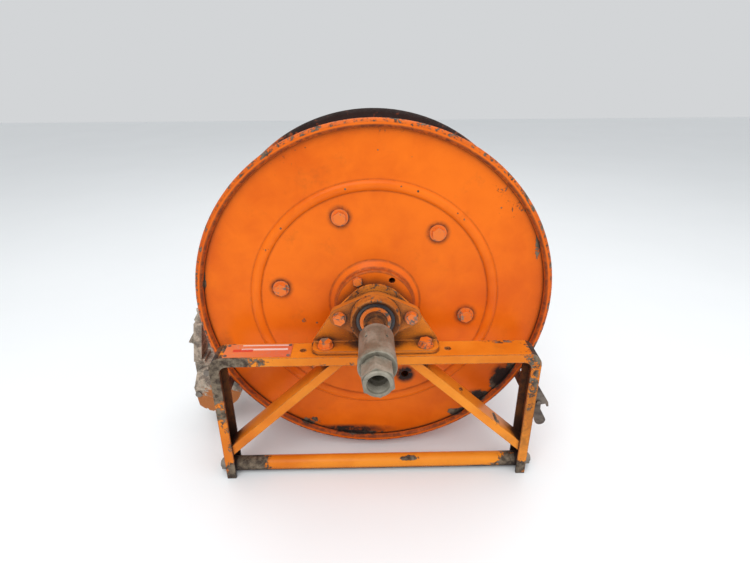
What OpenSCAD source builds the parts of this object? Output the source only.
// Power-rewind hose reel on a stand of bent steel channel.
// X runs across the stand, Y runs front to back along the reel's axle, Z is up from the floor.
// Inside the modules x = 0 is the axle, y = 0 is the outer face of the front disc.

/* [Reel] */
// Outer diameter of the two side discs
disc_d = 609.6; // [600:0.1:609.6]
// Clear width between the discs
disc_gap = 150; // [148:0.5:150]
// Thickness of the disc and drum sheet
sheet_t = 2.5; // [2:0.1:2.5]
// Diameter of the rolled rim
rim_roll_d = 13.6; // [12:0.1:14]
// Mean diameter of the drum and of the pressed bead that seats it
drum_d = 408; // [390:1:410]
// Bolt circle of the rods that tie the discs together
tie_circle_d = 324; // [310:1:330]
// Gap between the discs and the floor
floor_gap = 15.2; // [14:0.1:18]

/* [Stand] */
// Width of the stand over its legs
stand_w = 550; // [548:1:556]
// Height of the stand's top bars
stand_h = 261; // [259:0.5:262]
// Front-to-back depth of the main channel
channel_d = 46; // [46:0.1:47]
// Depth of the channel's flanges
flange_w = 16; // [15:0.5:17]
// Thickness of the channel's steel
channel_t = 4.8; // [4:0.1:5]
// Outer bend radius of the stand's corners
corner_r = 22; // [18:1:24]
// Slope of the braces
brace_angle = 42.9; // [41:0.1:44]

/* [Drive] */
// Shaft diameter in the bearings
shaft_d = 31.75; // [30:0.05:31.75]
// Waterway through the shaft
waterway_d = 20; // [16:1:20]
// Teeth on the reel's sprocket
big_teeth = 60; // [60]
// Teeth on the motor's sprocket
small_teeth = 12; // [12]
// Chain pitch
pitch = 12.7; // [12.7]

/* [Swivel] */
// Radius of the inlet's threaded hole
inlet_r = 14.6; // [14:0.1:15]
// Radius of the rotating barrel
barrel_r = 26.6; // [26:0.1:28]

/* [Hidden] */
$fn = 64;

// Reel
disc_r = disc_d / 2;
axle_z = disc_r + floor_gap;
roll_r = rim_roll_d / 2;
inner_y = sheet_t;
rear_inner_y = inner_y + disc_gap;
rear_outer_y = rear_inner_y + sheet_t;
boss_r = 66;
boss_foot_r = 78;
boss_h = 12;
bead_w = 18;
bead_h = 5;
drum_r = drum_d / 2;
hub_r = 68;
hub_t = 10;
hub_barrel_r = 27;
hub_circle_r = 57;
first_tie_angle = 50;
empty_tie = 4;
tie_r = 6.35;
tie_head = [19.05, 8];
tie_washer = [14, 2.5];

// Stand
half_w = stand_w / 2;
front_y = -83.3;
back_y = front_y + channel_d;
// The rear half of the stand is the front half mirrored about this plane
mirror_sum = 169.7;
web_x = half_w - channel_t;
rail_h = 25;
rail_z = 142;
rail_t = 5;
flange_corner_r = 14;
foot_tube_r = 13.35;
foot_tube_z = 15.4;
mid_y = front_y + channel_d / 2;
brace_h = 16;
brace_t = 4;
brace_gap = 0.1;
brace_foot_z = 62.7;
bracket_t = 6.35;
bracket_half_w = 105;
bracket_front_y = -76;
bracket_bolt_x = 83.5;
bracket_bolt_y = -59.5;
spare_hole_x = 121;
spare_hole_y = -60.6;
spare_hole_r = 5.5;
bracket_crest_r = 51.5;
plate_y = back_y - bracket_t;

// Bearings
shaft_r = shaft_d / 2;
housing_t = 14;
housing_y = plate_y - housing_t;
nose_r = 40.3;
nose_y = -76;
ear_x = 58.5;
ear_r = 16;
recess_r = 37.3;
mid_r = 41.5;
ring_y = -62;
ring_w = 16;
outer_ring_r = 31;
outer_race_r = 27.2;
ball_r = 4.76;
ball_circle_r = 23.4;
race_gap = 0.1;
inner_ring_r = 19.6;
sleeve_r = 19.3;
sleeve_y = -80;
fitting_angle = 190;

// Chain drive
chain_y = 182;
big_pr = pitch / 2 / sin(180 / big_teeth);
small_pr = pitch / 2 / sin(180 / small_teeth);
chain_links = 98;
centre_dist = 381.3;
motor_x = -316.4;
motor_z = axle_z - sqrt(centre_dist * centre_dist - motor_x * motor_x);
drive_angle = atan2(motor_z - axle_z, motor_x);
tangent_angle = acos((big_pr - small_pr) / centre_dist);
big_arc_links = (360 - 2 * tangent_angle) * big_teeth / 360;
small_arc_links = 2 * tangent_angle * small_teeth / 360;
span_links = (chain_links - big_arc_links - small_arc_links) / 2;
small_start = big_arc_links + span_links;
roller_r = 3.96;
sprocket_t = 7.2;
plate_gap = 7.9;
link_t = 1.5;
link_h = 5.6;
tooth_h = 3.6;

// Motor
cap_y = 47;
body_y = 58;
cover_y = 128;
motor_face_y = 158;
motor_plate_t = 8;
motor_r = 48.5;
port_top = 50;
motor_ear_x = 53.2;
motor_ear_r = 15;
motor_ear_turn = 130;
motor_lip = 2;
motor_shaft_r = 12.7;
motor_front_r = 45;
cavity_r = 31;
rotor_y = 66;
rotor_len = 54;
port_x = -33;
port_y = [74, 92];
port_r = 4;
valve_x = -34.8;
valve_y = [62, 102];
valve_t = 15;
valve_len = 88;
valve_lean = 8.5;
fitting_at = [-359.5, 75, 209];
fitting_tilt = -60;

// Brake
pivot_x = 287;
pivot_z = 150;
pivot_r = 4;
arm_end = [10, 37];
shoe_gap = 8;
shoe_t = 8;
shoe_half_angle = 3.2;

// Swivel
barrel_back_y = -112;
barrel_front_y = -201;
stem_gap = 0.3;
stem_front_y = -238;
spigot_r = 18;
spigot_back_y = -138;
stem_ball_y = [-152, -182];
stem_ball_r = 3;
stem_groove_r = 21;
stem_hex = 41.3;
stem_hex_y = -205;
stem_hex_turn = 22;
stem_ring_r = 20.3;

// The origin is the middle of the outer box, on the floor
left_x = motor_x + motor_ear_x * cos(motor_ear_turn) - motor_ear_r - motor_lip;
right_x = 307;
shaft_end_y = 266;
off_x = -(left_x + right_x) / 2;
off_y = -(stem_front_y + shaft_end_y) / 2;

// ---- Helpers ----

// Everything is drawn in axle coordinates and set home by these two
module on_floor() translate([off_x, off_y, 0]) children();
module on_axle() translate([off_x, off_y, axle_z]) children();
module at_motor() translate([off_x + motor_x, off_y, motor_z]) children();
module mirrored() translate([0, mirror_sum, 0]) mirror([0, 1, 0]) children();

// Solid of revolution about the Y axis from a profile in (radius, y)
module turned() rotate([-90, 0, 0]) rotate_extrude($fn = 96) children();

// Plate drawn in (x, z), from y0 and t thick
module plate(y0, t) translate([0, y0 + t, 0]) rotate([90, 0, 0]) linear_extrude(t) children();

module rod_y(r, y0, len) translate([0, y0, 0]) rotate([-90, 0, 0]) cylinder(r = r, h = len);
module rod_x(r, x0, len) translate([x0, 0, 0]) rotate([0, 90, 0]) cylinder(r = r, h = len);
module hex_y(af, y0, len) translate([0, y0, 0]) rotate([-90, 0, 0])
    cylinder(r = af / 2 / cos(30), h = len, $fn = 6);
module hex_x(af, x0, len) translate([x0, 0, 0]) rotate([0, 90, 0])
    cylinder(r = af / 2 / cos(30), h = len, $fn = 6);
module tube_y(r_out, r_in, y0, len) difference() {
    rod_y(r_out, y0, len);
    rod_y(r_in, y0 - 1, len + 2);
}

function arc(c, r, a0, a1, n = 10) =
    [for (i = [0:n]) let (a = a0 + (a1 - a0) * i / n) c + r * [cos(a), sin(a)]];
function box(x0, x1, y0, y1) = [[x0, y0], [x1, y0], [x1, y1], [x0, y1]];

// Round middle with two round ears joined by tangents, as on a two-bolt flange
function eared(r_mid, r_ear, dist) =
    let (a = acos((r_mid - r_ear) / dist))
    concat(arc([dist, 0], r_ear, -a, a), arc([0, 0], r_mid, a, 180 - a),
        arc([-dist, 0], r_ear, 180 - a, 180 + a), arc([0, 0], r_mid, 180 + a, 360 - a));

// Two round ends joined by tangents, from the origin along +X
function link(r0, r1, len) =
    let (a = acos((r0 - r1) / len))
    concat(arc([len, 0], r1, -a, a), arc([0, 0], r0, a, 360 - a));

// Bar along the legs and over the top: a U standing on its ends
function arch(half, top, r) = concat([[half, 0]], arc([half - r, top - r], r, 0, 90),
    arc([-half + r, top - r], r, 90, 180), [[-half, 0]]);
module u_bar(depth, inner_r) difference() {
    polygon(arch(half_w, stand_h, corner_r));
    translate([0, -1]) polygon(arch(half_w - depth, stand_h - depth + 1, inner_r));
}

// ---- Stand ----

module channel_frame() difference() {
    union() {
        plate(front_y, channel_d) u_bar(channel_t, corner_r - channel_t);
        plate(front_y, channel_t) u_bar(flange_w, flange_corner_r);
        plate(back_y - channel_t, channel_t) u_bar(flange_w, flange_corner_r);
    }
    for (s = [-1, 1]) {
        translate([s * bracket_bolt_x, bracket_bolt_y, stand_h - 10]) cylinder(r = frame_bolt_hole_r, h = 20);
        translate([s * spare_hole_x, spare_hole_y, stand_h - 10]) cylinder(r = spare_hole_r, h = 20);
    }
    translate([0, mid_y, foot_tube_z]) {
        rod_x(frame_bolt_hole_r, -half_w - 1, 12);
        rod_x(frame_bolt_hole_r, half_w - 11, 12);
    }
}

module front_frame() color("chocolate") on_floor() channel_frame();
module rear_frame() color("chocolate") on_floor() mirrored() channel_frame();

// Channel with its web uppermost, nested between the main channel's flanges
module brace(side) {
    depth = channel_d - 2 * channel_t - 2 * brace_gap;
    y0 = front_y + channel_t + brace_gap;
    reach = 330;
    mirror([side < 0 ? 1 : 0, 0, 0]) intersection() {
        translate([web_x, y0, brace_foot_z]) rotate([0, brace_angle, 0])
            translate([-reach, 0, -brace_h]) difference() {
                cube([reach + 20, depth, brace_h]);
                translate([-1, brace_t, -1]) cube([reach + 22, depth - 2 * brace_t, brace_h - brace_t + 1]);
            }
        translate([20, y0 - 1, 10]) cube([web_x - 20, depth + 2, stand_h - channel_t - 10]);
    }
}

module front_brace_left() color("darkorange") on_floor() brace(-1);
module front_brace_right() color("darkorange") on_floor() brace(1);
module rear_brace_left() color("darkorange") on_floor() mirrored() brace(-1);
module rear_brace_right() color("darkorange") on_floor() mirrored() brace(1);

rail_len = mirror_sum - 2 * back_y;
motor_bolt_y = [178, 196];
motor_bolt_z = rail_z + rail_h / 2;
motor_bolt_r = 4.76;

module side_rail_left() color("sienna") on_floor() difference() {
    translate([-half_w, back_y, rail_z]) cube([rail_t, rail_len, rail_h]);
    for (y = motor_bolt_y) translate([0, y, motor_bolt_z]) rod_x(motor_bolt_r + 0.3, -half_w - 1, rail_t + 2);
}
module side_rail_right() color("sienna") on_floor()
    translate([half_w - rail_t, back_y, rail_z]) cube([rail_t, rail_len, rail_h]);

module cross_tube() translate([0, mid_y, foot_tube_z]) difference() {
    rod_x(foot_tube_r, -web_x, 2 * web_x);
    rod_x(foot_tube_r - 2.9, -web_x - 1, 2 * web_x + 2);
}
module front_cross_tube() color("orangered") on_floor() cross_tube();
module rear_cross_tube() color("orangered") on_floor() mirrored() cross_tube();

tie_rod_half = half_w + 15;
module cross_tie_rods() color("dimgray") on_floor() {
    translate([0, mid_y, foot_tube_z]) rod_x(tie_r, -tie_rod_half, 2 * tie_rod_half);
    mirrored() translate([0, mid_y, foot_tube_z]) rod_x(tie_r, -tie_rod_half, 2 * tie_rod_half);
}

module end_nut() translate([half_w, 0, 0]) difference() {
    union() {
        rod_x(tie_washer[0] - 1, 0, tie_washer[1]);
        hex_x(tie_head[0], tie_washer[1], 10);
    }
    rod_x(tie_r, -1, 20);
}
module nut_pair() translate([0, mid_y, foot_tube_z]) {
    end_nut();
    mirror([1, 0, 0]) end_nut();
}
module cross_tie_nuts() color("gray") on_floor() {
    nut_pair();
    mirrored() nut_pair();
}

// ---- Bearing brackets ----

bracket_corner_r = 14;
bracket_fillet_r = 2.5;
corner_x = bracket_half_w - bracket_corner_r;
corner_y = bracket_front_y + bracket_corner_r;
fillet_y = plate_y - bracket_fillet_r;
frame_bolt_hole_r = 6.9;

function bracket_outline() =
    let (c = [0, axle_z])
    let (shoulder_x = bracket_crest_r * sqrt(2) + 1)
    concat([[bracket_half_w, stand_h], [bracket_half_w, stand_h + 10], [shoulder_x, axle_z - 1]],
        arc(c, bracket_crest_r, 45, 135, 16),
        [[-shoulder_x, axle_z - 1], [-bracket_half_w, stand_h + 10], [-bracket_half_w, stand_h]]);

module bearing_bracket() difference() {
    union() {
        plate(plate_y, bracket_t) polygon(bracket_outline());
        translate([0, 0, stand_h]) linear_extrude(bracket_t)
            polygon(concat([[bracket_half_w, plate_y + 1]],
                arc([corner_x, corner_y], bracket_corner_r, 0, -90, 8),
                arc([-corner_x, corner_y], bracket_corner_r, -90, -180, 8),
                [[-bracket_half_w, plate_y + 1]]));
        translate([-bracket_half_w, 0, 0]) rotate([90, 0, 90]) linear_extrude(2 * bracket_half_w)
            polygon(concat([[plate_y + 1, stand_h + 1]],
                arc([fillet_y, stand_h + bracket_t + bracket_fillet_r], bracket_fillet_r, 0, -90, 6),
                [[fillet_y, stand_h + 1]]));
    }
    translate([0, 0, axle_z]) rod_y(22, plate_y - 1, bracket_t + 2);
    for (s = [-1, 1]) {
        translate([s * ear_x, 0, axle_z]) rod_y(6, plate_y - 10, bracket_t + 20);
        translate([s * bracket_bolt_x, bracket_bolt_y, stand_h - 1]) cylinder(r = frame_bolt_hole_r, h = 20);
    }
}
module front_bearing_bracket() color("darkorange") on_floor() bearing_bracket();
module rear_bearing_bracket() color("darkorange") on_floor() mirrored() bearing_bracket();

module bracket_bolt() {
    top = stand_h + bracket_t;
    nut_h = 10;
    web_z = stand_h - channel_t;
    translate([0, 0, web_z - nut_h]) cylinder(r = tie_r, h = top - web_z + nut_h + tie_washer[1]);
    translate([0, 0, web_z - nut_h]) cylinder(r = tie_head[0] / 2 / cos(30), h = nut_h, $fn = 6);
    translate([0, 0, top]) cylinder(r = tie_washer[0] - 1, h = tie_washer[1]);
    translate([0, 0, top + tie_washer[1]]) rotate(12)
        cylinder(r = tie_head[0] / 2 / cos(30), h = tie_head[1], $fn = 6);
}
module bracket_bolt_pair() for (s = [-1, 1])
    translate([s * bracket_bolt_x, bracket_bolt_y, 0]) bracket_bolt();
module bracket_bolts() color("peru") on_floor() {
    bracket_bolt_pair();
    mirrored() bracket_bolt_pair();
}

// ---- Flange bearings ----

module bearing_housing() difference() {
    union() {
        plate(housing_y, housing_t) polygon(eared(mid_r, ear_r, ear_x));
        turned() polygon([[outer_ring_r - 2, housing_y + 1], [nose_r + 1, housing_y + 1],
            [nose_r, nose_y + 3], [nose_r - 1.2, nose_y], [outer_ring_r - 2, nose_y]]);
    }
    rod_y(outer_ring_r, nose_y - 1, 60);
    turned() polygon([[0, nose_y - 1], [recess_r + 0.9, nose_y - 1],
        [recess_r - 7.3, nose_y + 8.1], [0, nose_y + 8.1]]);
    for (s = [-1, 1]) translate([s * ear_x, 0, 0]) rod_y(6, housing_y - 1, housing_t + 2);
    rotate([0, fitting_angle, 0]) translate([0, ring_y, outer_ring_r - 1]) cylinder(r = 3, h = 20);
}
module front_bearing_housing() color("goldenrod") on_axle() bearing_housing();
module rear_bearing_housing() color("goldenrod") on_axle() mirrored() bearing_housing();

module race_groove() turned() translate([ball_circle_r, ring_y]) circle(r = ball_r + race_gap, $fn = 32);

module outer_ring() difference() {
    tube_y(outer_ring_r, outer_race_r, ring_y - ring_w / 2, ring_w);
    race_groove();
}
module bearing_outer_rings() color("silver") on_axle() {
    outer_ring();
    mirrored() outer_ring();
}

module inner_ring() difference() {
    union() {
        rod_y(inner_ring_r, ring_y - ring_w / 2, ring_w);
        rod_y(sleeve_r, sleeve_y, ring_y - sleeve_y);
    }
    rod_y(shaft_r, sleeve_y - 1, 60);
    race_groove();
    for (a = [75, 195]) rotate([0, a, 0])
        translate([0, sleeve_y + 3.4, shaft_r - 1]) cylinder(r = 2.2, h = 9);
}
module bearing_inner_rings() color("silver") on_axle() {
    inner_ring();
    mirrored() inner_ring();
}

ball_count = 9;
module ball_set() for (i = [0:ball_count - 1]) rotate([0, i * 360 / ball_count, 0])
    translate([ball_circle_r, ring_y, 0]) sphere(r = ball_r, $fn = 24);
module bearing_balls() color("lightgray") on_axle() {
    ball_set();
    mirrored() ball_set();
}

module seal_pair() for (y = [ring_y - ring_w / 2 + 0.5, ring_y + ring_w / 2 - 1.7])
    tube_y(outer_race_r, inner_ring_r + 0.1, y, 1.2);
module bearing_seals() color("#222222") on_axle() {
    seal_pair();
    mirrored() seal_pair();
}

// Flinger ring on the inner ring's sleeve, in the mouth of the housing
collar_r = 25.2;
collar_w = 2.6;
module bearing_collar() tube_y(collar_r, sleeve_r, ring_y - ring_w / 2 - collar_w - 0.1, collar_w);
module bearing_collars() color("dimgray") on_axle() {
    bearing_collar();
    mirrored() bearing_collar();
}

bearing_bolt_r = 5.5;
module bearing_bolt() {
    nut_t = 8;
    head_y = housing_y - 2;
    rod_y(bearing_bolt_r, head_y, back_y + nut_t - head_y);
    rod_y(11, head_y, 2);
    rotate([0, 20, 0]) hex_y(17.5, head_y - 7.5, 7.5);
    hex_y(17.5, back_y, nut_t);
}
module bearing_bolt_pair() for (s = [-1, 1]) translate([s * ear_x, 0, 0]) bearing_bolt();
module bearing_bolts() color("goldenrod") on_axle() {
    bearing_bolt_pair();
    mirrored() bearing_bolt_pair();
}

module grease_fitting() rotate([0, fitting_angle, 0]) translate([0, ring_y, 0]) {
    translate([0, 0, outer_ring_r]) cylinder(r = 3, h = 12);
    translate([0, 0, nose_r + 1.3]) cylinder(r = 4.6, h = 2.6, $fn = 6);
    translate([0, 0, nose_r + 3]) cylinder(r = 2, h = 3);
    translate([0, 0, nose_r + 6.6]) sphere(r = 2.4, $fn = 24);
}
module grease_fittings() color("silver") on_axle() {
    grease_fitting();
    mirrored() grease_fitting();
}

// ---- Name plate ----

plate_x = [-251, -140];
plate_depth = 39;
plate_thick = 0.9;
module name_plate() color("tomato") on_floor() difference() {
    translate([plate_x[0], mid_y - plate_depth / 2, stand_h])
        cube([plate_x[1] - plate_x[0], plate_depth, plate_thick]);
    plate_rivets(1.6, 4);
}
module plate_rivets(r, h) for (x = [plate_x[0] + 4, plate_x[1] - 4], s = [-1, 1])
    translate([x, mid_y + s * (plate_depth / 2 - 4), stand_h]) cylinder(r = r, h = h, $fn = 24);
module name_plate_rivets() color("silver") on_floor() {
    plate_rivets(1.6, plate_thick);
    translate([0, 0, plate_thick]) plate_rivets(2.8, 1.1);
}

// ---- Motor and drive ----

motor_plate_y = motor_face_y;
module motor_outline(grow) rotate(motor_ear_turn)
    polygon(eared(motor_r + grow, motor_ear_r + grow, motor_ear_x));

module motor_bracket() color("saddlebrown") difference() {
    union() {
        at_motor() plate(motor_plate_y, motor_plate_t) motor_outline(motor_lip);
        on_floor() plate(motor_plate_y, motor_plate_t)
            polygon([[motor_x + 20, motor_z - 35], [-half_w, rail_z - 45], [-half_w, rail_z + rail_h],
                [motor_x + 10, rail_z + rail_h - 4]]);
        on_floor() translate([-half_w - 6, motor_plate_y, rail_z])
            cube([6, mirror_sum - back_y - motor_plate_y - 2, rail_h]);
    }
    at_motor() rod_y(41.5, motor_plate_y - 1, motor_plate_t + 2);
    at_motor() for (s = [-1, 1]) rotate([0, -motor_ear_turn, 0])
        translate([s * motor_ear_x, 0, 0]) rod_y(6.5, motor_plate_y - 1, motor_plate_t + 2);
    on_floor() for (y = motor_bolt_y) translate([0, y, motor_bolt_z])
        rod_x(motor_bolt_r + 0.3, -half_w - 7, 8);
}

module motor_bracket_bolts() color("gray") on_floor() for (y = motor_bolt_y) translate([0, y, motor_bolt_z]) {
    rod_x(motor_bolt_r, -half_w - 6, 6 + rail_t + 7);
    hex_x(14.3, -half_w - 12, 6);
    hex_x(14.3, -half_w + rail_t, 7);
}

// Section of the motor: round on the right, with a flat left flank and three ribs underneath
module motor_section() {
    polygon(concat(arc([0, 0], motor_r, -75, 75, 20),
        [[-30, 50], [-43, 6], [-motor_front_r, 2], [-40, -42], [-33, -50], [-8, -50]]));
    translate([-33, -44.5]) circle(r = 8.4);
    translate([-16, -48.5]) circle(r = 9);
    translate([2, -49.5]) circle(r = 8.2);
}

module motor_end_cap() color("tan") at_motor() difference() {
    union() {
        plate(cap_y, body_y - cap_y) intersection() {
            motor_section();
            translate([0, -6]) circle(r = motor_r + 5);
        }
        rod_y(24, cap_y - 3, 6);
    }
    cap_bolt_holes();
    rod_y(motor_shaft_r + 0.05, body_y - 6, 8);
}

cap_bolts = 4;
cap_bolt_circle = 40;
module around_cap() for (i = [0:cap_bolts - 1]) rotate([0, -20 - i * 360 / cap_bolts, 0])
    translate([cap_bolt_circle, 0, 0]) children();
module cap_bolt_holes() around_cap() rod_y(4.2, cap_y - 1, 80);
module motor_cap_bolts() color("dimgray") at_motor() around_cap() {
    rod_y(4, cap_y, 70);
    rod_y(6.2, cap_y - 3, 3);
}

module motor_body() color("rosybrown") at_motor() difference() {
    union() {
        plate(body_y, cover_y - body_y) motor_section();
        translate([-40, body_y + 4, 10]) cube([74, 42, port_top - 10]);
    }
    rod_y(cavity_r, rotor_y, rotor_len);
    rod_y(motor_shaft_r + 0.05, body_y - 1, 90);
    cap_bolt_holes();
    for (y = port_y) translate([port_x, y, 0]) cylinder(r = port_r, h = port_top + 2);
}

module motor_flange() color("gray") at_motor() difference() {
    union() {
        turned() polygon([[0, cover_y], [motor_r - 4, cover_y], [motor_r - 4, motor_face_y - 12],
            [41, motor_face_y - 11], [41.2, motor_face_y + 4], [0, motor_face_y + 4]]);
        plate(motor_face_y - 12, 12) motor_outline(0);
    }
    rod_y(motor_shaft_r + 0.05, cover_y - 1, 60);
    around_cap() rod_y(4.2, cover_y - 1, 12);
    for (s = [-1, 1]) rotate([0, -motor_ear_turn, 0]) translate([s * motor_ear_x, 0, 0]) {
        rod_y(6.5, motor_face_y - 30, 60);
        rod_y(12, motor_face_y - 30, 18);
    }
}

module motor_flange_bolts() color("gray") at_motor() for (s = [-1, 1])
    rotate([0, -motor_ear_turn, 0]) translate([s * motor_ear_x, 0, 0]) {
        rod_y(6.35, motor_face_y - 12, 12 + motor_plate_t + 8);
        hex_y(19.05, motor_face_y - 20, 8);
        hex_y(19.05, motor_face_y + motor_plate_t, 8);
    }

// Valve block standing on the motor and leaning towards the reel
module at_valve() at_motor() translate([valve_x, 0, port_top]) rotate([0, valve_lean, 0]) children();
module at_fitting() on_floor() translate(fitting_at) rotate([0, fitting_tilt, 0]) children();
valve_w = valve_y[1] - valve_y[0];
valve_mid_y = valve_y[0] + valve_w / 2;
module control_valve() color("lightgray") difference() {
    union() {
        at_valve() translate([-valve_t / 2, valve_y[0], 2]) cube([valve_t, valve_w, valve_len - 2]);
        at_motor() translate([-40, valve_y[0] + 1, port_top]) cube([20, valve_w - 2, 8]);
        at_fitting() translate([0, 0, -21]) cylinder(r = 10, h = 17);
    }
    at_motor() for (y = port_y) translate([port_x, y, port_top - 1]) cylinder(r = port_r, h = 20);
    at_valve() translate([0, valve_mid_y, valve_len - 20]) cylinder(r = 5, h = 30);
    at_fitting() translate([0, 0, -18]) cylinder(r = 6, h = 20);
}
module valve_cap() color("silver") at_valve() translate([0, valve_mid_y, valve_len]) {
    translate([0, 0, -18]) cylinder(r = 5, h = 20);
    cylinder(r1 = 12, r2 = 7, h = 12);
    translate([0, 0, 11]) cylinder(r = 6, h = 8);
    translate([0, 0, 18]) cylinder(r = 8, h = 6, $fn = 6);
}
module port_plugs() color("dimgray") at_fitting() difference() {
    union() {
        translate([0, 0, -16]) cylinder(r = 6, h = 12);
        translate([0, 0, -4]) cylinder(r = 11, h = 4);
    }
    translate([0, 0, -9]) cylinder(r = 4, h = 10);
    translate([0, 0, -2.5]) cylinder(r = 8.5, h = 4);
}

// ---- Chain and sprockets ----

// Place on the loop for a roller at s pitches along it, from where the upper run leaves the big sprocket
function along(a, b, t) = a + (b - a) * t;
function on_circle(c, r, a) = c + r * [cos(a), sin(a)];
motor_c = [motor_x, motor_z - axle_z];
function roller_at(s) =
    let (past_small = s - small_start - small_arc_links)
    s < big_arc_links ? on_circle([0, 0], big_pr, drive_angle + tangent_angle + s * 360 / big_teeth) :
    s < small_start ? along(on_circle([0, 0], big_pr, drive_angle - tangent_angle),
        on_circle(motor_c, small_pr, drive_angle - tangent_angle), (s - big_arc_links) / span_links) :
    s < small_start + small_arc_links ? on_circle(motor_c, small_pr,
        drive_angle - tangent_angle + (s - small_start) * 360 / small_teeth) :
    along(on_circle(motor_c, small_pr, drive_angle + tangent_angle),
        on_circle([0, 0], big_pr, drive_angle + tangent_angle), past_small / span_links);
big_phase = drive_angle + tangent_angle;
small_phase = drive_angle - tangent_angle + (ceil(small_start) - small_start) * 360 / small_teeth;

function loop_outline(grow) = concat(
    arc([0, 0], big_pr + grow, drive_angle + tangent_angle, drive_angle + 360 - tangent_angle, 60),
    arc(motor_c, small_pr + grow, drive_angle - tangent_angle, drive_angle + tangent_angle, 20));

// The loop doesn't circulate, so it carries rollers only on its free runs, clear of the turning teeth
tooth_room = 8.5;
module drive_chain() color("#333333") on_axle() {
    for (y = [chain_y - plate_gap / 2 - link_t, chain_y + plate_gap / 2]) plate(y, link_t) difference() {
        polygon(loop_outline(link_h));
        polygon(loop_outline(-link_h));
    }
    for (k = [0:chain_links - 1]) let (p = roller_at(k))
        if (norm(p) > big_pr + tooth_room && norm(p - motor_c) > small_pr + tooth_room)
            translate([p[0], 0, p[1]]) rod_y(roller_r, chain_y - plate_gap / 2, plate_gap);
}

module toothed(teeth, pr, phase) {
    seat_r = roller_r + 0.34;
    tip_r = pr + tooth_h;
    difference() {
        circle(r = tip_r, $fn = 120);
        for (i = [0:teeth - 1]) rotate(phase + i * 360 / teeth) {
            translate([pr, 0]) circle(r = seat_r, $fn = 24);
            polygon([[pr, -seat_r], [pr + 5, -seat_r - 1.2], [pr + 5, seat_r + 1.2], [pr, seat_r]]);
        }
    }
}

spoke_holes = 5;
spoke_circle_r = 92;
spoke_hole_r = 15;
module reel_sprocket() color("dimgray") on_axle() difference() {
    plate(chain_y - sprocket_t / 2, sprocket_t) toothed(big_teeth, big_pr, big_phase);
    rod_y(hub_barrel_r, chain_y - 10, 20);
    for (i = [0:5]) rotate([0, i * 60, 0]) translate([hub_circle_r, 0, 0]) rod_y(5.3, chain_y - 10, 20);
    for (i = [0:spoke_holes - 1]) rotate([0, i * 360 / spoke_holes, 0])
        translate([spoke_circle_r, 0, 0]) rod_y(spoke_hole_r, chain_y - 10, 20);
}

module motor_sprocket() color("dimgray") at_motor() difference() {
    union() {
        plate(chain_y - sprocket_t / 2, sprocket_t) toothed(small_teeth, small_pr, small_phase);
        rod_y(18, chain_y + sprocket_t / 2 - 1, 16);
    }
    rod_y(motor_shaft_r, chain_y - 10, 40);
    translate([0, chain_y + 12, 10]) cylinder(r = 3, h = 20);
}

module motor_shaft() color("silver") at_motor() rod_y(motor_shaft_r, body_y - 5, chain_y + 22 - body_y);

vane_count = 6;
module motor_rotor() color("lightgray") at_motor() difference() {
    union() {
        rod_y(26, rotor_y + 0.4, rotor_len - 0.8);
        for (i = [0:vane_count - 1]) rotate([0, i * 360 / vane_count, 0])
            translate([16, rotor_y + 1, -1.5]) cube([cavity_r - 16.4, rotor_len - 2, 3]);
    }
    rod_y(motor_shaft_r, rotor_y - 1, rotor_len + 2);
}

// ---- Brake ----

module brake_bracket() color("dimgray") on_floor() difference() {
    union() {
        translate([half_w, -66, 137]) cube([4, 40, 53]);
        translate([half_w, 0, 0]) plate(-66, 4) polygon([[0, 190], [5, 190], [30.2, 148.5], [31.5, 140.2],
            [28.3, 139.5], [25.6, 146], [17, 144.5], [15, 137], [0, 137]]);
        translate([half_w, 0, 0]) plate(-30, 4) polygon([[0, 190], [5, 190], [21, 155], [18, 142], [0, 137]]);
    }
    translate([pivot_x, 0, pivot_z]) rod_y(pivot_r + 0.05, -70, 50);
}

lever_end = [10.5, -44.5];
lever_end_r = 9.6;
lever_y = -61.6;
lever_t = 4.2;
shoe_arm_y = -12;
shoe_arm_t = 13;
module shoe_arm() rotate(atan2(arm_end[1], arm_end[0])) polygon(link(9, 6, norm(arm_end)));
module brake_lever() color("#3a3a40") on_floor() translate([pivot_x, 0, pivot_z]) {
    rod_y(pivot_r, -69, 69 + shoe_arm_y + shoe_arm_t);
    plate(lever_y, lever_t) polygon(concat(arc([0, 0], 7, 5, 175), [[-7, -9], [-5, -25]],
        arc(lever_end, lever_end_r, 200, 385, 16), [[7.8, -18.8], [7.3, -9]]));
    rod_y(6.5, lever_y + lever_t - 0.5, 26.4);
    plate(shoe_arm_y, shoe_arm_t) shoe_arm();
}
// Friction block on the arm, hollowed to the rim it presses on
shoe_angle = atan2(pivot_z + arm_end[1] - axle_z, pivot_x + arm_end[0]);
shoe_from = shoe_angle - shoe_half_angle;
shoe_to = shoe_angle + shoe_half_angle;
module brake_shoe() color("#222222") on_floor() difference() {
    plate(shoe_arm_y, shoe_arm_t) polygon(concat(
        arc([0, axle_z], disc_r + shoe_gap, shoe_from, shoe_to, 8),
        arc([0, axle_z], disc_r + shoe_gap + shoe_t, shoe_to, shoe_from, 8)));
    translate([pivot_x, 0, pivot_z]) plate(shoe_arm_y - 1, shoe_arm_t + 2) shoe_arm();
}

// ---- Reel ----

bead_arc_r = (pow(bead_w / 2, 2) + pow(bead_h, 2)) / (2 * bead_h);
roll_y = sheet_t + 0.15 - roll_r;

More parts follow.
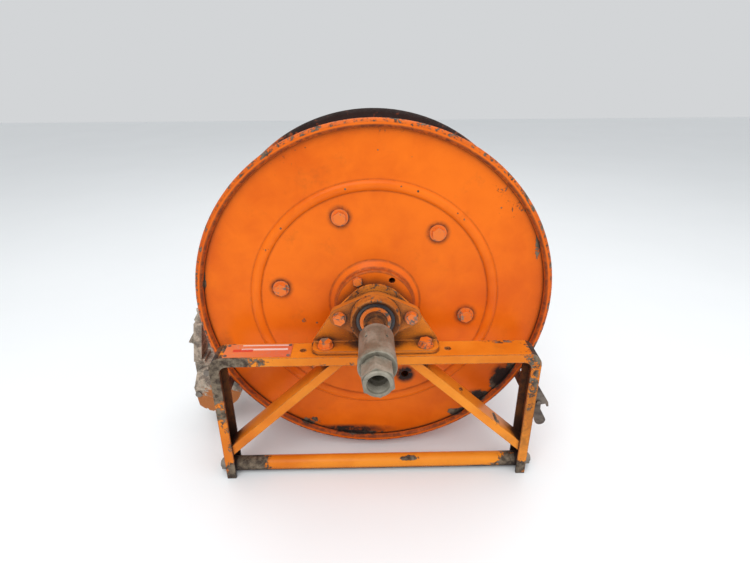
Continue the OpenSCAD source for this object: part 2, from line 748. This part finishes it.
// Half section in (radius, y): raised boss, pressed bead and rolled rim
module disc_section() {
    difference() {
        union() {
            polygon([[20, -boss_h], [boss_r, -boss_h], [boss_foot_r, 0], [boss_foot_r, sheet_t],
                [boss_foot_r - 1.5, sheet_t], [boss_r - 1.5, sheet_t - boss_h], [20, sheet_t - boss_h]]);
            polygon(box(boss_foot_r - 1, disc_r - roll_r, 0, sheet_t));
            intersection() {
                translate([drum_r, bead_arc_r - bead_h]) circle(r = bead_arc_r, $fn = 48);
                polygon(box(drum_r - 20, drum_r + 20, -10, sheet_t));
            }
        }
        translate([drum_r, bead_arc_r - bead_h]) circle(r = bead_arc_r - sheet_t, $fn = 48);
    }
    difference() {
        translate([disc_r - roll_r, roll_y]) circle(r = roll_r, $fn = 48);
        translate([disc_r - roll_r, roll_y]) circle(r = roll_r - sheet_t, $fn = 48);
        polygon(box(disc_r - 3 * roll_r, disc_r - roll_r - 2, -3.6, -0.05));
    }
}

module tie_pattern(skip_empty) for (i = [0:5]) if (!skip_empty || i != empty_tie)
    rotate([0, -first_tie_angle - i * 60, 0]) translate([tie_circle_d / 2, 0, 0]) children();
module hub_pattern(skip_first) for (i = [0:5]) if (!skip_first || i != 1)
    rotate([0, -i * 60, 0]) translate([hub_circle_r, 0, 0]) children();

module side_disc() difference() {
    turned() disc_section();
    tie_pattern(false) rod_y(6.8, -10, 20);
    hub_pattern(false) rod_y(5.3, -20, 20);
}
module front_disc() color("darkorange") on_axle() side_disc();
module rear_disc() color("darkorange") on_axle()
    translate([0, rear_outer_y, 0]) mirror([0, 1, 0]) side_disc();

drum_t = 2;
drum_seat = 2.2;
outlet_angle = 20;
outlet_y = inner_y + disc_gap / 2;
module drum_shell() color("darkorange") on_axle() difference() {
    tube_y(drum_r + drum_t / 2, drum_r - drum_t / 2, -drum_seat, rear_outer_y + 2 * drum_seat);
    rotate([0, 90 - outlet_angle, 0]) translate([0, outlet_y, drum_r - 20]) cylinder(r = 17, h = 40);
}

module disc_tie_rods() color("peru") on_axle() tie_pattern(true) {
    rod_y(tie_r, -tie_washer[1], rear_outer_y + 2 * tie_washer[1]);
    rotate([0, 15, 0]) hex_y(tie_head[0], -tie_washer[1] - tie_head[1], tie_head[1]);
    hex_y(tie_head[0], rear_outer_y + tie_washer[1], 8);
}
module tie_rod_washers() color("peru") on_axle() tie_pattern(true) {
    tube_y(tie_washer[0], tie_r, -tie_washer[1], tie_washer[1]);
    tube_y(tie_washer[0], tie_r, rear_outer_y, tie_washer[1]);
}

module hub_flange(front, back, barrel_end) difference() {
    turned() polygon([[shaft_r, back], [hub_r - 2, back], [hub_r, back - 2], [hub_r, front + 2],
        [hub_r - 2, front], [hub_barrel_r, front], [hub_barrel_r, barrel_end], [shaft_r, barrel_end]]);
    hub_pattern(false) rod_y(5.3, front - 1, back - front + 2);
}
module front_hub_flange() color("chocolate") on_axle() hub_flange(-boss_h - hub_t, -boss_h, -34);
rear_face_y = chain_y - sprocket_t / 2;
module rear_hub_flange() color("chocolate") on_axle() translate([0, rear_outer_y, 0]) mirror([0, 1, 0])
    hub_flange(rear_outer_y - rear_face_y, -boss_h, rear_outer_y - 196);

hub_bolt_r = 4.76;
rear_bolt_y = rear_outer_y + boss_h - sheet_t - 6;
module hub_bolts() color("peru") on_axle() {
    hub_pattern(true) {
        rod_y(hub_bolt_r, -boss_h - hub_t, hub_t + sheet_t + 6);
        rotate([0, 25, 0]) hex_y(14.3, -boss_h - hub_t - 6.3, 6.3);
        hex_y(14.3, sheet_t - boss_h, 7);
    }
    hub_pattern(false) {
        rod_y(hub_bolt_r, rear_bolt_y, rear_face_y + sprocket_t - rear_bolt_y);
        hex_y(14.3, rear_face_y + sprocket_t, 6.3);
        hex_y(14.3, rear_outer_y + boss_h - sheet_t - 7, 7);
    }
}

riser_r = 13.35;
neck_r = 13.4;
neck_y = sleeve_y - 0.6;
shaft_front_y = -134;
module reel_shaft() color("silver") on_axle() difference() {
    union() {
        rod_y(neck_r, shaft_front_y, neck_y - shaft_front_y + 10);
        rod_y(shaft_r, neck_y, shaft_end_y - neck_y);
    }
    rod_y(waterway_d / 2, shaft_front_y - 1, outlet_y - shaft_front_y + 12);
    rotate([0, 90 - outlet_angle, 0]) translate([0, outlet_y, 0]) cylinder(r = 10, h = 40);
}

elbow_r = drum_r + 22;
module at_riser() on_axle() rotate([0, 90 - outlet_angle, 0]) translate([0, outlet_y, 0]) children();
module hose_riser() color("gray") at_riser() difference() {
    translate([0, 0, 4]) cylinder(r = riser_r, h = elbow_r - 4 - 12);
    cylinder(r = 10, h = 300);
    rotate([90, 0, 0]) translate([0, 0, -40]) cylinder(r = shaft_r, h = 80);
}

// Elbow outside the drum: takes the riser and turns along the winding
elbow_len = 26;
outlet_r = 12.2;
module at_elbow() on_axle() rotate([0, 90 - outlet_angle, 0]) translate([0, outlet_y, elbow_r]) children();
module outlet_elbow() color("dimgray") at_elbow() difference() {
    union() {
        translate([0, 0, -16]) cylinder(r = 17.5, h = 16);
        sphere(r = 17.5, $fn = 48);
        rod_x(17.5, 0, elbow_len);
        rod_x(19, elbow_len - 8, 8);
    }
    translate([0, 0, -17]) cylinder(r = riser_r, h = 5);
    translate([0, 0, -13]) cylinder(r = 10, h = 13);
    sphere(r = 10, $fn = 48);
    rod_x(10, 0, 12);
    rod_x(outlet_r, elbow_len - 18, 19);
}

// ---- Swivel joint ----

module race_rings() for (y = stem_ball_y)
    turned() translate([spigot_r, y]) circle(r = stem_ball_r + 0.05, $fn = 32);

module swivel_barrel() color("lightslategray") on_axle() difference() {
    turned() polygon([[neck_r, barrel_back_y], [18, barrel_back_y], [20, barrel_back_y - 3],
        [barrel_r - 1, barrel_back_y - 10], [barrel_r, barrel_back_y - 12], [barrel_r, -183],
        [barrel_r + 1, -184], [barrel_r + 1, barrel_front_y + 1.5], [barrel_r - 0.5, barrel_front_y],
        [spigot_r + 0.05, barrel_front_y], [spigot_r + 0.05, spigot_back_y + 3],
        [neck_r, spigot_back_y + 3]]);
    race_rings();
    for (a = [-35, 35]) rotate([0, a, 0])
        translate([0, stem_ball_y[0], spigot_r + 3]) cylinder(r = 2.2, h = 12);
}

module swivel_stem() color("slategray") on_axle() difference() {
    union() {
        rod_y(spigot_r, barrel_front_y - 2, spigot_back_y - barrel_front_y + 2);
        rod_y(stem_groove_r, stem_hex_y - 1, barrel_front_y - stem_gap - stem_hex_y + 1);
        rotate([0, stem_hex_turn, 0]) hex_y(stem_hex, stem_front_y + 4, stem_hex_y - stem_front_y - 4);
        turned() polygon([[0, stem_hex_y - 5], [stem_ring_r, stem_hex_y - 5],
            [stem_ring_r, stem_front_y + 1.5], [stem_ring_r - 1.2, stem_front_y], [0, stem_front_y]]);
    }
    rod_y(waterway_d / 2, stem_front_y - 1, 110);
    rod_y(inlet_r, stem_front_y - 1, 23);
    turned() polygon([[0, stem_front_y - 0.1], [inlet_r + 0.8, stem_front_y - 0.1],
        [inlet_r - 0.1, stem_front_y + 2.2], [0, stem_front_y + 2.2]]);
    race_rings();
    turned() translate([spigot_r, -143.5]) circle(r = 1.6, $fn = 24);
}

stem_balls = 12;
module swivel_balls() color("lightgray") on_axle() for (y = stem_ball_y, i = [0:stem_balls - 1])
    rotate([0, i * 360 / stem_balls, 0]) translate([spigot_r, y, 0]) sphere(r = stem_ball_r, $fn = 24);
module swivel_seal() color("#111111") on_axle() difference() {
    turned() translate([spigot_r - 0.05, -143.5]) circle(r = 1.55, $fn = 24);
    tube_y(spigot_r + 5, spigot_r, -150, 12);
}

front_frame();
rear_frame();
front_brace_left();
front_brace_right();
rear_brace_left();
rear_brace_right();
side_rail_left();
side_rail_right();
front_cross_tube();
rear_cross_tube();
cross_tie_rods();
cross_tie_nuts();
front_bearing_bracket();
rear_bearing_bracket();
bracket_bolts();
front_bearing_housing();
rear_bearing_housing();
bearing_outer_rings();
bearing_balls();
bearing_seals();
bearing_bolts();
grease_fittings();
name_plate();
name_plate_rivets();
motor_bracket();
motor_bracket_bolts();
motor_end_cap();
motor_body();
motor_flange();
motor_cap_bolts();
motor_flange_bolts();
control_valve();
valve_cap();
port_plugs();
drive_chain();
brake_bracket();
front_disc();
rear_disc();
drum_shell();
disc_tie_rods();
tie_rod_washers();
front_hub_flange();
rear_hub_flange();
hub_bolts();
reel_shaft();
bearing_inner_rings();
bearing_collars();
reel_sprocket();
hose_riser();
outlet_elbow();
swivel_barrel();
swivel_stem();
swivel_balls();
swivel_seal();
motor_shaft();
motor_rotor();
motor_sprocket();
brake_lever();
brake_shoe();
